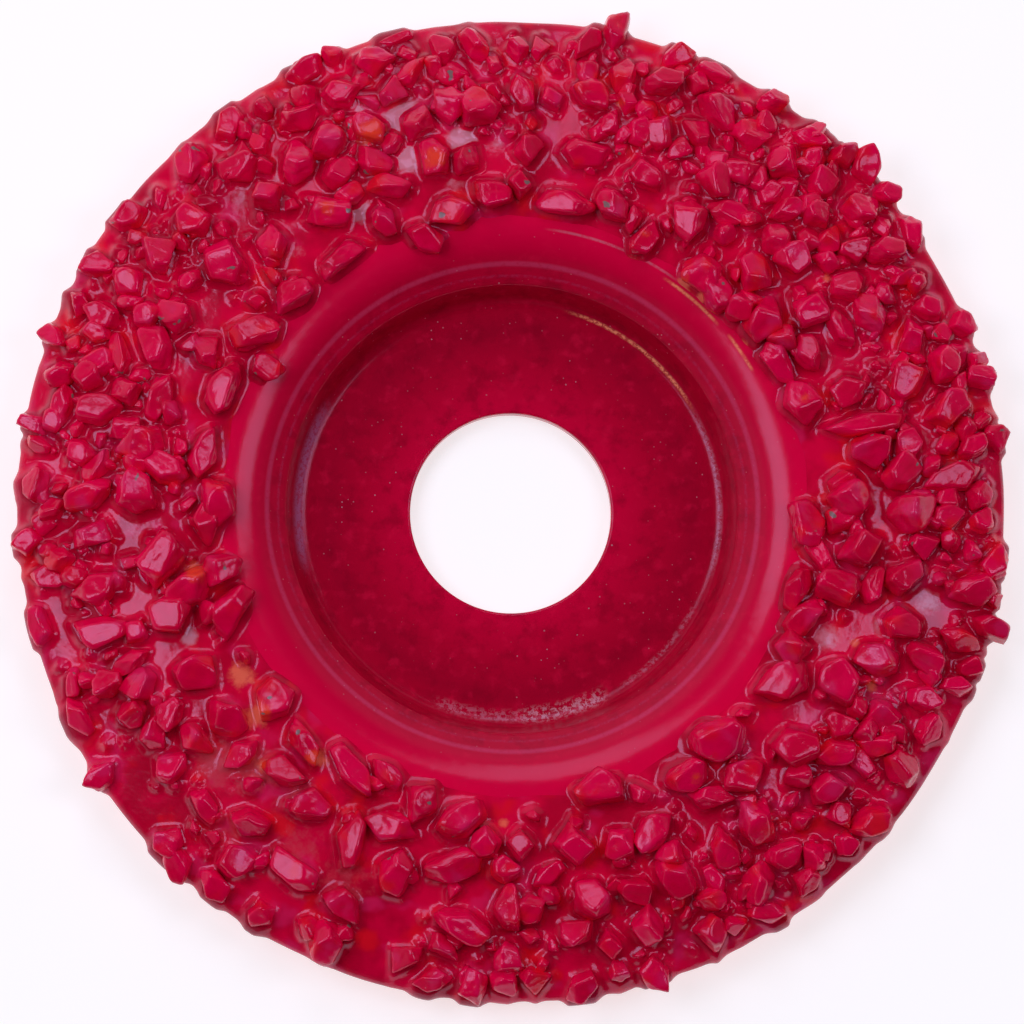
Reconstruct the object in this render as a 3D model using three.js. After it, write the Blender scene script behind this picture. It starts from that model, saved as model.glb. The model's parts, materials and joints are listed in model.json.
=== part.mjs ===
// A carbide-grit carving disc for an angle grinder: a dished pressed steel blank with a 22.23 mm bore,
// a layer of braze over its working face, and crushed tungsten carbide grains seated on the braze.
// Millimetres, +Z up. The origin is on the bore's axis, in the plane of the hub's back face, and the
// grit faces +Z.

import * as THREE from 'three';
import { ConvexGeometry } from 'three/addons/geometries/ConvexGeometry.js';

const radians = THREE.MathUtils.degToRad;

// Steel blank
const boreRadius = 22.23 / 2;
const sheet = 2.5; // thickness of the steel
const floorRadius = 22.5; // flat of the hub, where the grinder's flange and nut sit
const floorFillet = 1.6; // inside radius between the floor and the wall
const wallAngle = 72; // degrees from flat
const shoulderAngle = 25; // the step between the wall and the lip
const lipAngle = 44; // slope of the face just outside the lip
const crestRadius = 31.8; // where the face is highest
const crestHeight = 9.9;
const crestRoll = 6.8; // radius of the roll that carries the lip up to the crest
const domeRoll = 53.7; // radius of the face's fall from the crest to the rim
const rimRadius = 54.35;
const turnSteps = 72; // facets round the axis

// Braze bed
const bedInner = 30.5;
const bedThickness = 0.5;
const seatGap = 0.08; // between the bed and the flat underside of a grain

// The centres of the two rolls of the face lie under its crest.
const crestCentre = crestHeight - crestRoll;
const domeCentre = crestHeight - domeRoll;
const rimAngle = THREE.MathUtils.radToDeg(Math.acos((rimRadius - crestRadius) / domeRoll));
const bedInnerAngle = THREE.MathUtils.radToDeg(Math.acos((bedInner - crestRadius) / crestRoll));

const steelPaint = { color: 0xa50427, roughness: 0.3, metalness: 0.1 };
const bedPaint = { color: 0xb20b34, roughness: 0.25, metalness: 0.1 };
const grainPaint = { color: 0xb8082f, roughness: 0.2, metalness: 0.1 };

// Points along an arc, its two ends included.
function arc(centreX, centreZ, radius, fromAngle, toAngle, steps) {
  return Array.from({ length: steps + 1 }, (_, i) => {
    const angle = radians(THREE.MathUtils.lerp(fromAngle, toAngle, i / steps));
    return new THREE.Vector2(centreX + radius * Math.cos(angle), centreZ + radius * Math.sin(angle));
  });
}

// Where the line through a, rising at angleA, crosses the line through b, rising at angleB.
function crossing(a, angleA, b, angleB) {
  const slopeA = Math.tan(radians(angleA));
  const slopeB = Math.tan(radians(angleB));
  const x = (b.y - a.y + slopeA * a.x - slopeB * b.x) / (slopeA - slopeB);
  return new THREE.Vector2(x, a.y + slopeA * (x - a.x));
}

// A ring turned about Z from a section whose points run anticlockwise in (radius, height).
function turned(section) {
  const closed = [...section, section[0].clone()];
  return new THREE.LatheGeometry(closed, turnSteps).rotateX(Math.PI / 2);
}

// The face outside the bed's inner edge, outwards to the rim. The blank and the bed share it.
function workingFace() {
  const roll = arc(crestRadius, crestCentre, crestRoll, bedInnerAngle, 90, 1);
  const fall = arc(crestRadius, domeCentre, domeRoll, 90, rimAngle, 7);
  return [...roll, ...fall.slice(1)];
}

function rimBack() {
  return arc(crestRadius, domeCentre, domeRoll - sheet, rimAngle, rimAngle, 1)[0];
}

function rimMiddle() {
  return workingFace().at(-1).lerp(rimBack(), 0.5);
}

function steelDiscGeometry() {
  const rise = wallAngle - 90;
  const back = arc(floorRadius, floorFillet + sheet, floorFillet + sheet, -90, rise, 3);
  const crestUnder = arc(crestRadius, crestCentre, crestRoll - sheet, 90 + lipAngle, 90, 3);
  const domeUnder = arc(crestRadius, domeCentre, domeRoll - sheet, 90, rimAngle, 7);
  const lipRoll = arc(crestRadius, crestCentre, crestRoll, bedInnerAngle, 90 + lipAngle, 3);
  const fillet = arc(floorRadius, floorFillet + sheet, floorFillet, rise, -90, 3);
  return turned([
    new THREE.Vector2(boreRadius, 0),
    ...back,
    crossing(back.at(-1), wallAngle, crestUnder[0], shoulderAngle),
    ...crestUnder,
    ...domeUnder.slice(1),
    rimMiddle(),
    ...workingFace().reverse(),
    ...lipRoll.slice(1),
    crossing(fillet[0], wallAngle, lipRoll.at(-1), shoulderAngle),
    ...fillet,
    new THREE.Vector2(boreRadius, sheet),
  ]);
}

// The braze lies on the face, feathers out at its inner edge and runs a little way round the rim.
function brazeBedGeometry() {
  const edge = workingFace().at(-1).sub(rimBack()).normalize();
  const outward = new THREE.Vector2(edge.y, -edge.x).multiplyScalar(bedThickness);
  const top = arc(crestRadius, domeCentre, domeRoll + bedThickness, rimAngle, 90, 7);
  return turned([
    ...workingFace(),
    rimMiddle(),
    rimMiddle().addScaledVector(outward, 0.6),
    workingFace().at(-1).add(outward),
    ...top,
  ]);
}

// Repeatable random numbers from 0 to 1.
function randomFrom(seed) {
  let state = seed * 7919 + 17;
  return () => {
    state = (state * 48271) % 2147483647;
    return state / 2147483647;
  };
}

// One crushed grain on its flat underside, long axis along X: a block as carbide breaks, cut by planes,
// with a tilted top, steep sides and a few corners knocked off.
function grainGeometry(length, width, height, seed) {
  const random = randomFrom(seed);
  const between = (low, high) => low + (high - low) * random();
  const cut = (around, rise, distance) => {
    const flat = Math.cos(radians(rise));
    const normal = new THREE.Vector3(
      flat * Math.cos(radians(around)), flat * Math.sin(radians(around)), Math.sin(radians(rise)));
    return new THREE.Plane(normal, -distance);
  };
  const start = between(0, 360);
  const planes = [cut(0, -90, 0), cut(start, between(66, 84), 0.85)];
  for (let i = 0; i < 5; i++) planes.push(cut(start + 72 * i + between(-20, 20), between(-12, 20), between(0.78, 0.94)));
  for (let i = 0; i < 3; i++) planes.push(cut(start + 120 * i + between(-40, 40), between(32, 58), between(1.0, 1.14)));
  const points = [];
  planes.forEach((a, i) => planes.slice(i + 1).forEach((b, j) => planes.slice(i + j + 2).forEach((c) => {
    const point = meeting(a, b, c);
    if (point && planes.every((plane) => plane.distanceToPoint(point) < 1e-6)) points.push(point);
  })));
  const box = new THREE.Box3().setFromPoints(points);
  const size = box.getSize(new THREE.Vector3());
  return new ConvexGeometry(points)
    .translate(-(box.min.x + box.max.x) / 2, -(box.min.y + box.max.y) / 2, 0)
    .scale(length / size.x, width / size.y, height / size.z);
}

// The point where three planes meet, or nothing if they are nearly parallel.
function meeting(a, b, c) {
  const rows = new THREE.Matrix3().set(...a.normal, ...b.normal, ...c.normal);
  if (Math.abs(rows.determinant()) < 0.05) return null;
  return new THREE.Vector3(-a.constant, -b.constant, -c.constant).applyMatrix3(rows.invert());
}

// Stands a grain on the bed at a place on the face. Its long axis is turned from the outward
// direction by turn degrees, anticlockwise seen from the front.
function seatGrain(mesh, azimuth, radius, turn) {
  const onRoll = radius < crestRadius;
  const centre = onRoll ? crestCentre : domeCentre;
  const roll = (onRoll ? crestRoll : domeRoll) + bedThickness + seatGap;
  const lean = Math.asin((radius - crestRadius) / roll);
  const round = new THREE.Group();
  const seat = new THREE.Group();
  round.rotation.z = radians(azimuth);
  seat.position.set(radius, 0, centre + roll * Math.cos(lean));
  seat.rotation.y = lean;
  mesh.rotation.z = radians(turn);
  seat.add(mesh);
  round.add(seat);
  return round;
}

// The largest grains: azimuth in degrees, radius of the seat, length, width, height, turn in degrees.
const grains = [
  [13.2, 40.0, 10.6, 2.7, 2.2, -3],
  [20.2, 33.8, 5.2, 4.0, 2.5, -60],
  [19.0, 39.2, 4.4, 3.6, 2.1, 0],
  [12.8, 49.2, 5.6, 3.8, 2.8, 35],
  [8.2, 54.0, 3.8, 3.5, 1.9, 0],
  [22.4, 53.8, 4.2, 3.1, 2.0, -30],
  [33.4, 44.4, 4.8, 4.3, 2.6, 0],
  [44.0, 54.6, 4.4, 3.8, 2.4, 60],
  [51.0, 53.0, 5.0, 3.0, 1.9, -70],
  [58.4, 42.6, 4.6, 4.3, 2.7, 20],
  [63.6, 33.0, 4.8, 2.8, 1.9, -15],
  [67.6, 39.4, 4.4, 3.2, 2.1, 80],
  [78.2, 39.4, 6.0, 3.6, 2.4, 85],
  [79.2, 46.6, 5.0, 3.6, 2.6, 75],
  [69.8, 53.6, 4.8, 2.6, 2.1, -50],
  [77.6, 54.4, 5.4, 3.0, 2.4, -10],
  [101.4, 33.4, 5.0, 3.6, 2.3, 70],
  [102.6, 39.4, 4.6, 3.7, 2.3, 15],
  [107.8, 31.2, 4.8, 3.1, 1.9, 30],
  [110.6, 44.4, 4.6, 3.4, 2.4, 35],
  [115.0, 53.8, 5.2, 3.2, 2.2, -80],
  [126.0, 52.9, 5.0, 3.2, 2.0, -60],
  [132.4, 39.4, 4.7, 3.8, 2.4, -40],
  [139.6, 41.5, 5.8, 5.2, 3.1, 10],
  [142.6, 53.2, 5.0, 3.4, 2.1, 60],
  [145.8, 34.2, 6.0, 3.6, 2.3, 50],
  [150.6, 30.8, 4.0, 3.1, 1.8, 20],
  [159.2, 53.9, 4.4, 2.5, 2.1, -15],
  [163.2, 40.6, 6.0, 3.1, 2.3, 85],
  [170.4, 34.6, 6.2, 3.4, 2.1, 85],
  [184.0, 53.5, 4.2, 3.2, 2.0, 20],
  [191.4, 46.9, 6.6, 4.1, 2.7, 0],
  [194.0, 53.5, 5.0, 2.9, 1.9, 85],
  [200.2, 33.6, 6.4, 3.8, 2.4, 40],
  [208.2, 39.4, 5.0, 4.6, 2.7, 0],
  [213.0, 53.9, 4.4, 3.0, 2.2, 10],
  [217.2, 47.4, 4.3, 3.8, 2.4, 30],
  [219.4, 34.3, 5.0, 4.7, 2.4, 0],
  [226.6, 53.6, 5.2, 3.4, 2.2, 60],
  [238.2, 53.0, 3.8, 3.2, 2.0, -10],
  [239.0, 34.6, 7.2, 3.2, 2.2, 60],
  [239.0, 47.1, 6.4, 3.4, 2.3, 90],
  [243.9, 41.1, 7.2, 3.5, 2.5, 10],
  [247.0, 47.7, 5.8, 3.4, 2.5, 75],
  [252.4, 42.6, 5.4, 4.1, 2.6, 10],
  [278.2, 53.3, 4.2, 3.4, 2.1, -20],
  [286.2, 32.5, 6.0, 4.5, 2.4, 85],
  [287.0, 53.8, 4.8, 3.4, 2.2, 10],
  [292.6, 39.2, 5.6, 3.6, 2.5, -50],
  [301.0, 44.6, 5.2, 3.4, 2.6, 10],
  [310.0, 39.2, 5.6, 4.0, 2.6, 70],
  [319.2, 41.0, 6.2, 4.7, 3.0, 40],
  [326.0, 35.4, 6.8, 4.3, 2.6, 50],
  [330.8, 41.0, 6.2, 4.9, 3.0, -20],
  [346.0, 54.3, 5.0, 2.8, 2.3, -5],
  [349.8, 43.8, 5.6, 3.8, 2.7, 40],
  [353.8, 53.4, 4.8, 3.4, 2.1, 80],
  [356.2, 32.7, 6.0, 3.9, 2.5, -70],
];

const disc = new THREE.Group();

const steelDisc = new THREE.Mesh(steelDiscGeometry(), new THREE.MeshStandardMaterial(steelPaint));
steelDisc.name = 'steel_disc';
disc.add(steelDisc);

const brazeBed = new THREE.Mesh(brazeBedGeometry(), new THREE.MeshStandardMaterial(bedPaint));
brazeBed.name = 'braze_bed';
disc.add(brazeBed);

grains.forEach(([azimuth, radius, length, width, height, turn], i) => {
  const geometry = grainGeometry(length, width, height, i + 1);
  const mesh = new THREE.Mesh(geometry, new THREE.MeshStandardMaterial(grainPaint));
  mesh.name = `carbide_grain_${String(i + 1).padStart(2, '0')}`;
  disc.add(seatGrain(mesh, azimuth, radius, turn));
});

export default disc;
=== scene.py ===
# Carving disc for an angle grinder: a dished steel blank, carbide grit brazed on its face, and red enamel
# over all of it.
import itertools
import json
import math

import bmesh
import bpy
import numpy as np
from mathutils import Matrix, Vector

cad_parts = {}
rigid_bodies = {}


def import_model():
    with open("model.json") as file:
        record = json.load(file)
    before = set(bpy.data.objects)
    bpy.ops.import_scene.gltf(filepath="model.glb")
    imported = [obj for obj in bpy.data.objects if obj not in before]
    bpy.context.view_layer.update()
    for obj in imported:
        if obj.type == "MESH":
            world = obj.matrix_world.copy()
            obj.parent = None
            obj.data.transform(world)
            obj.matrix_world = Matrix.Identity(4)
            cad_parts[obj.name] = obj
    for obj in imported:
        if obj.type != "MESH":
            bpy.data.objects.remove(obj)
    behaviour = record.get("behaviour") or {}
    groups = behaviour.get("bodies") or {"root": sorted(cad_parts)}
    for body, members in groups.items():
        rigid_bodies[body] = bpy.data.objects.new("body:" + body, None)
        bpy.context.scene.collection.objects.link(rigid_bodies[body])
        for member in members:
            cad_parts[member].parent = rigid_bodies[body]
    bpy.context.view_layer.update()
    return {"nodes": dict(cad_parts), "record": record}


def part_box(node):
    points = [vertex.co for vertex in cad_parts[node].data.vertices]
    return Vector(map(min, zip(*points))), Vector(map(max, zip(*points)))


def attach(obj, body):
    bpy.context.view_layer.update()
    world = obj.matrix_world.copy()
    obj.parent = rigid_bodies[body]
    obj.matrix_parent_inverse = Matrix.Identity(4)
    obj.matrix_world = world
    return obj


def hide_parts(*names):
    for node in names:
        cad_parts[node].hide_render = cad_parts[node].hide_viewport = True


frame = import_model()
mm = 0.001


def linearColour(hexCode):
    channels = [int(hexCode[i:i + 2], 16) / 255 for i in (1, 3, 5)]
    return [c / 12.92 if c <= 0.04045 else ((c + 0.055) / 1.055) ** 2.4 for c in channels] + [1.0]


def addNode(tree, kind, inputs=None, **settings):
    node = tree.nodes.new(kind)
    for name, value in settings.items():
        setattr(node, name, value)
    for name, value in (inputs or {}).items():
        socket = node.inputs[name]
        if isinstance(value, bpy.types.NodeSocket):
            tree.links.new(value, socket)
        else:
            socket.default_value = value
    return node


def calc(tree, operation, a, b=0.0):
    return addNode(tree, "ShaderNodeMath", {0: a, 1: b}, operation=operation).outputs[0]


def times(tree, a, b):
    return calc(tree, "MULTIPLY", a, b)


def facingTo(tree, direction, degrees):
    # 1 straight towards an azimuth, 0 square to it and -1 away from it
    to = (*flatPlace(degrees, 1), 0)
    dot = addNode(tree, "ShaderNodeVectorMath", {0: direction, 1: to}, operation="DOT_PRODUCT")
    return dot.outputs["Value"]


def setInputs(shader, values):
    for name, value in values.items():
        shader.inputs[name].default_value = value


def inScene(thing):
    bpy.context.scene.collection.objects.link(thing)
    return thing


def pointsOf(mesh):
    co = np.zeros(len(mesh.vertices) * 3)
    mesh.vertices.foreach_get("co", co)
    return co.reshape(-1, 3)


def keep(mesh, name, kind, values):
    # one value to each point of a mesh, under a name
    field = "vector" if kind == "FLOAT_VECTOR" else "value"
    mesh.attributes.new(name, kind, "POINT").data.foreach_set(field, np.ravel(values))


def meshObject(name, vertices, faces):
    mesh = bpy.data.meshes.new(name)
    mesh.from_pydata([tuple(v) for v in vertices], [], [tuple(f) for f in faces])
    mesh.polygons.foreach_set("use_smooth", [True] * len(mesh.polygons))
    mesh.update()
    return inScene(bpy.data.objects.new(name, mesh))


def flatPlace(azimuth, radius):
    return radius * math.cos(math.radians(azimuth)), radius * math.sin(math.radians(azimuth))


def wave(x, y, z, seed):
    # smooth repeatable unevenness, roughly -1 to 1
    total = 0
    rng = np.random.default_rng(seed)
    for k in range(6):
        a, b, c = rng.normal(size=3)
        total = total + np.sin(a * x + b * y + c * z + rng.uniform(0, 6.28))
    return total / 3.5


camera = {
    "tilt": 6.5,  # degrees off the disc's axis, towards -Y
    "lean": 2.2,  # degrees towards -X
    "distance": 2.5,  # metres
    "width": 113.4 * mm,  # what the view covers at the disc
    "target": (0.15 * mm, 0.13 * mm, 2.5 * mm),
    "sensor": 36,
}


def placeCamera():
    data = bpy.data.cameras.new("camera")
    data.sensor_width = camera["sensor"]
    data.lens = camera["sensor"] * camera["distance"] / camera["width"]
    data.clip_start, data.clip_end = 0.1, 20
    cam = inScene(bpy.data.objects.new("camera", data))
    lean, tilt = math.tan(math.radians(camera["lean"])), math.tan(math.radians(camera["tilt"]))
    back = Vector((-lean, -tilt, 1)).normalized()
    right = (Vector((1, 0, 0)) - back * back.x).normalized()
    up = back.cross(right)
    turn = Matrix((right, up, back)).transposed()
    place = Matrix.Translation(Vector(camera["target"]) + back * camera["distance"])
    cam.matrix_world = place @ turn.to_4x4()
    bpy.context.scene.camera = cam


lights = {
    "distance": 1.1,  # metres
    "colour": (0.86, 0.8, 1.0),
    # each box: direction round the disc and degrees from its axis, width and height in metres, brightness
    "boxes": [
        ("left", 172, 33, 0.6, 0.56, 4.5),
        ("right", 0, 34, 0.4, 0.56, 3.8),
        ("top", 96, 40, 0.5, 0.6, 2.7),
    ],
}


def placeLights():
    for name, azimuth, polar, width, height, radiance in lights["boxes"]:
        data = bpy.data.lights.new("softbox_" + name, "AREA")
        data.shape = "RECTANGLE"
        data.size, data.size_y = width, height
        data.energy = radiance * math.pi * width * height
        data.color = lights["colour"]
        lamp = inScene(bpy.data.objects.new("softbox_" + name, data))
        polar, around = math.radians(polar), math.radians(azimuth)
        out = math.sin(polar)
        away = Vector((out * math.cos(around), out * math.sin(around), math.cos(polar)))
        lamp.location = away * lights["distance"]
        lamp.rotation_mode = "QUATERNION"
        lamp.rotation_quaternion = away.to_track_quat("Z", "Y")
        lamp.visible_camera = False


walls = {
    "from": 52,  # degrees off the axis where the pale studio walls begin
    "to": 70,  # and where they reach full brightness
    "brightness": 0.32,
    "overhead": 0.01,
    "colour": (0.9, 0.85, 1.0, 1),
    "seen": (0.95, 0.95, 0.95, 1),  # what lies behind the disc in the view
    "brightSide": 130,  # the upper left is the brighter side of the room
}


def placeWorld():
    world = bpy.data.worlds.new("studio")
    bpy.context.scene.world = world
    world.use_nodes = True
    tree = world.node_tree
    tree.nodes.clear()
    path = addNode(tree, "ShaderNodeLightPath")
    away = addNode(tree, "ShaderNodeTexCoord").outputs["Generated"]
    height = addNode(tree, "ShaderNodeSeparateXYZ", {0: away}).outputs["Z"]
    ring = addNode(tree, "ShaderNodeMapRange", {
        "Value": height, "From Min": math.cos(math.radians(walls["from"])),
        "From Max": math.cos(math.radians(walls["to"])),
        "To Min": walls["overhead"], "To Max": walls["brightness"]}, interpolation_type="SMOOTHSTEP")
    strength = times(tree, ring.outputs[0], calc(tree, "ADD", facingTo(tree, away, walls["brightSide"]), 1.0))
    pale = addNode(tree, "ShaderNodeBackground", {"Color": walls["seen"], "Strength": 1.0})
    room = addNode(tree, "ShaderNodeBackground", {"Color": walls["colour"], "Strength": strength})
    mix = addNode(tree, "ShaderNodeMixShader", {
        0: path.outputs["Is Camera Ray"], 1: room.outputs[0], 2: pale.outputs[0]})
    addNode(tree, "ShaderNodeOutputWorld", {"Surface": mix.outputs[0]})


ground = {
    "side": 8.0,  # metres from the middle to each edge
    "below": 0.02 * mm,  # it lies just under the hub
    "look": {
        "Base Color": (0.5, 0.5, 0.5, 1), "Roughness": 0.9, "Specular IOR Level": 0.0,
        "Emission Color": (1, 1, 1, 1), "Emission Strength": 0.68,  # lifts it towards white
    },
}


def makeFloor():
    side = ground["side"]
    corners = [(-side, -side, 0), (side, -side, 0), (side, side, 0), (-side, side, 0)]
    floor = meshObject("floor", corners, [(0, 1, 2, 3)])
    floor.location.z = -ground["below"]
    material = bpy.data.materials.new("paleFloor")
    material.use_nodes = True
    setInputs(material.node_tree.nodes["Principled BSDF"], ground["look"])
    floor.data.materials.append(material)


enamel = {
    "shadeBetweenGrains": "#9A0022",  # painted shade in the crevices between crowded grains
    "deep": "#DC0038",
    "red": "#F00048",
    "bedDeep": "#C4002E",  # the coat over the braze is a little darker than over the grains
    "bedRed": "#E8003E",
    "scarlet": "#F21224",
    "pink": "#E4205E",
    "thin": "#F8441E",  # bronze glowing through thin enamel
    "gold": "#FA7858",  # and bare, dusty bronze
    "tan": "#DA4A58",  # the dull stretch
    "paintedSheen": "#E09CAC",  # painted sheen: the pale pink of the softboxes mirrored in smooth braze between the grains
    "bare": "#8A6C68",  # carbide with its enamel knocked off
    "dust": "#C88C9A",
    "look": {"Roughness": 0.17, "IOR": 1.5, "Specular Tint": (0.72, 0.64, 0.92, 1)},
}


def fade(tree, value, start, end, low=0.0, high=1.0):
    # low before the start, high after the end, and a smooth change between them
    return addNode(tree, "ShaderNodeMapRange", {
        "Value": value, "From Min": start, "From Max": end, "To Min": low, "To Max": high},
        interpolation_type="SMOOTHSTEP").outputs[0]


def shifted(tree, place, by):
    return addNode(tree, "ShaderNodeVectorMath", {0: place, 1: (by, by, by)}, operation="ADD").outputs[0]


def noise(tree, place, scale, detail=2.0, roughness=0.5):
    return addNode(tree, "ShaderNodeTexNoise", {
        "Vector": place, "Scale": scale, "Detail": detail, "Roughness": roughness}).outputs["Fac"]


def stored(tree, name):
    return addNode(tree, "ShaderNodeAttribute", attribute_name=name).outputs["Fac"]


def paintOver(tree, under, factor, hexCode):
    node = addNode(tree, "ShaderNodeMix", data_type="RGBA")
    tree.links.new(factor, node.inputs["Factor"])
    tree.links.new(under, node.inputs[6])
    node.inputs[7].default_value = linearColour(hexCode)
    return node.outputs[2]


def glossCoat(name):
    # smooth stoved enamel: sharp but faint highlights over a saturated red
    material = bpy.data.materials.new(name)
    material.use_nodes = True
    tree = material.node_tree
    shader = tree.nodes["Principled BSDF"]
    setInputs(shader, enamel["look"])
    place = addNode(tree, "ShaderNodeTexCoord").outputs["Object"]
    return material, tree, shader, place


def mottled(tree, place, bright, deep):
    # a slow drift between bright and deep, with scarlet and pink places in it
    base = addNode(tree, "ShaderNodeRGB").outputs[0]
    base.default_value = linearColour(bright)
    now = paintOver(tree, base, fade(tree, noise(tree, place, 190.0, 3.0), 0.62, 0.36), deep)
    scarlet = fade(tree, noise(tree, shifted(tree, place, 1.0), 240.0), 0.54, 0.72, 0, 0.8)
    now = paintOver(tree, now, scarlet, enamel["scarlet"])
    pink = fade(tree, noise(tree, shifted(tree, place, 2.0), 260.0), 0.56, 0.72, 0, 0.7)
    return paintOver(tree, now, pink, enamel["pink"])


def relief(tree, shader, height, distance):
    bump = addNode(tree, "ShaderNodeBump", {"Height": height, "Strength": 1.0, "Distance": distance})
    tree.links.new(bump.outputs["Normal"], shader.inputs["Normal"])


def brokenSpot(tree, place, name, most=0.85):
    # painted places break up at their edges into streaks
    broken = calc(tree, "ADD", stored(tree, name), times(tree, noise(tree, place, 800.0, 5.0, 0.7), 1.5))
    return fade(tree, broken, 1.05, 1.7, 0, most)


def dusted(tree, place, under, scale, size, rare, share):
    # specks of dust caught in the enamel, one to a cell and only in the rarer cells
    cells = addNode(tree, "ShaderNodeTexVoronoi", {"Vector": place, "Scale": scale})
    own = addNode(tree, "ShaderNodeSeparateColor", {0: cells.outputs["Color"]}).outputs[0]
    speck = times(tree, fade(tree, cells.outputs["Distance"], size, size * 0.4),
                 fade(tree, own, rare, 1.0, 0, 1))
    return paintOver(tree, under, times(tree, speck, share), enamel["dust"])


def enamelOverCarbide():
    # enamelled crushed carbide: blood red and glassy, now and then a grey chip where a corner has broken
    material, tree, shader, place = glossCoat("glossEnamelOverCarbide")
    now = mottled(tree, place, enamel["red"], enamel["deep"])
    now = paintOver(tree, now, brokenSpot(tree, place, "thin"), enamel["thin"])
    chip = fade(tree, noise(tree, shifted(tree, place, 3.0), 520.0), 0.72, 0.75)
    now = paintOver(tree, now, chip, enamel["bare"])
    now = dusted(tree, place, now, 620.0, 0.07, 0.8, 0.6)
    tree.links.new(now, shader.inputs["Base Color"])
    relief(tree, shader, noise(tree, place, 850.0, 3.0, 0.55), 0.06 * mm)
    return material


def enamelOverBraze():
    # enamelled bronze braze: the same red with painted shade between crowded grains and a painted pale sheen
    # on smooth stretches, orange where it ran thin
    material, tree, shader, place = glossCoat("glossEnamelOverBraze")
    now = mottled(tree, place, enamel["bedRed"], enamel["bedDeep"])
    # painted shade: darker where the grains crowd together
    now = paintOver(tree, now, fade(tree, stored(tree, "crowd"), 0.15, 0.6, 0, 0.6), enamel["shadeBetweenGrains"])
    now = paintOver(tree, now, brokenSpot(tree, place, "dull", 0.75), enamel["tan"])
    # painted sheen on the smooth braze, pale pink where it would mirror the softboxes
    pale = stored(tree, "pale")
    paintedSheen = calc(tree, "ADD", pale, times(tree, noise(tree, place, 1600.0, 4.0, 0.65), 0.5))
    now = paintOver(tree, now, fade(tree, paintedSheen, 0.55, 0.95, 0, 0.75), enamel["paintedSheen"])
    now = paintOver(tree, now, brokenSpot(tree, place, "thin"), enamel["gold"])
    now = dusted(tree, place, now, 620.0, 0.07, 0.8, 0.6)
    tree.links.new(now, shader.inputs["Base Color"])
    # the pale places are crazed, the rest only rippled
    cells = addNode(tree, "ShaderNodeTexVoronoi", {"Vector": place, "Scale": 900.0})
    crackle = times(tree, cells.outputs["Distance"], fade(tree, pale, 0.3, 0.8, 0.0, 1.6))
    relief(tree, shader, calc(tree, "ADD", noise(tree, place, 700.0, 2.0), crackle), 0.07 * mm)
    return material


steel = {
    "look": {"Roughness": 0.19, "IOR": 1.38},  # a little duller than the coat on the grit
    # radius in mm, and the enamel's colour there: painted shade darkening the recess towards its wall,
    # painted light brightening the crest
    "shadeAndLightZones": [(12, "#D60038"), (16.5, "#BE002E"), (20.5, "#A80028"), (24, "#BE002C"), (27, "#CC0034"),
              (29, "#DE003C"), (31.5, "#EC0042")],
    "rampEnd": 40,  # mm
    "recessClouds": "#8E0020",  # darker clouds in the recess
    "glow": "#E81444",
}

# Marks on the steel, most of them painted highlights along the fillet, shoulder, lip and crest: radius and
# half width in mm, azimuth and half angle in degrees, colour, strength, and how broken up it is.
highlightsAndMarks = [
    (23.3, 0.28, 52, 24, "#FF9C70", 1.0, 0.8),  # painted highlight along the recess fillet, dusty gold here, pink and violet further round
    (23.2, 0.42, 6, 26, "#C87890", 0.6, 0.85),
    (23.6, 0.75, 172, 26, "#BC6C98", 0.8, 0.6),
    (22.6, 1.3, 285, 14, "#D8A0AE", 0.6, 1.0),  # grinding dust with a painted highlight over it, a pale smear along the fillet
    (22.6, 1.0, 262, 16, "#C88096", 0.4, 1.0),
    (22.8, 0.5, 318, 18, "#C88096", 0.35, 1.0),
    # painted highlight: a faint line along the shoulder, all the way round
    (25.9, 0.25, 90, 180, "#B83A68", 0.3, 0.8),
    (27.15, 0.42, 90, 180, "#E05080", 0.4, 0.3),  # painted highlight along the lip's edge, all the way round
    (30.4, 0.26, 49, 8, "#FF9468", 1.0, 0.6),  # bronze along the crest
    (30.5, 0.26, 34, 5, "#FF9468", 0.9, 0.6),
    # painted highlight: a pink line along the crest
    (31.0, 0.22, 68, 16, "#DC7890", 0.6, 0.5),
]


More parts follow.
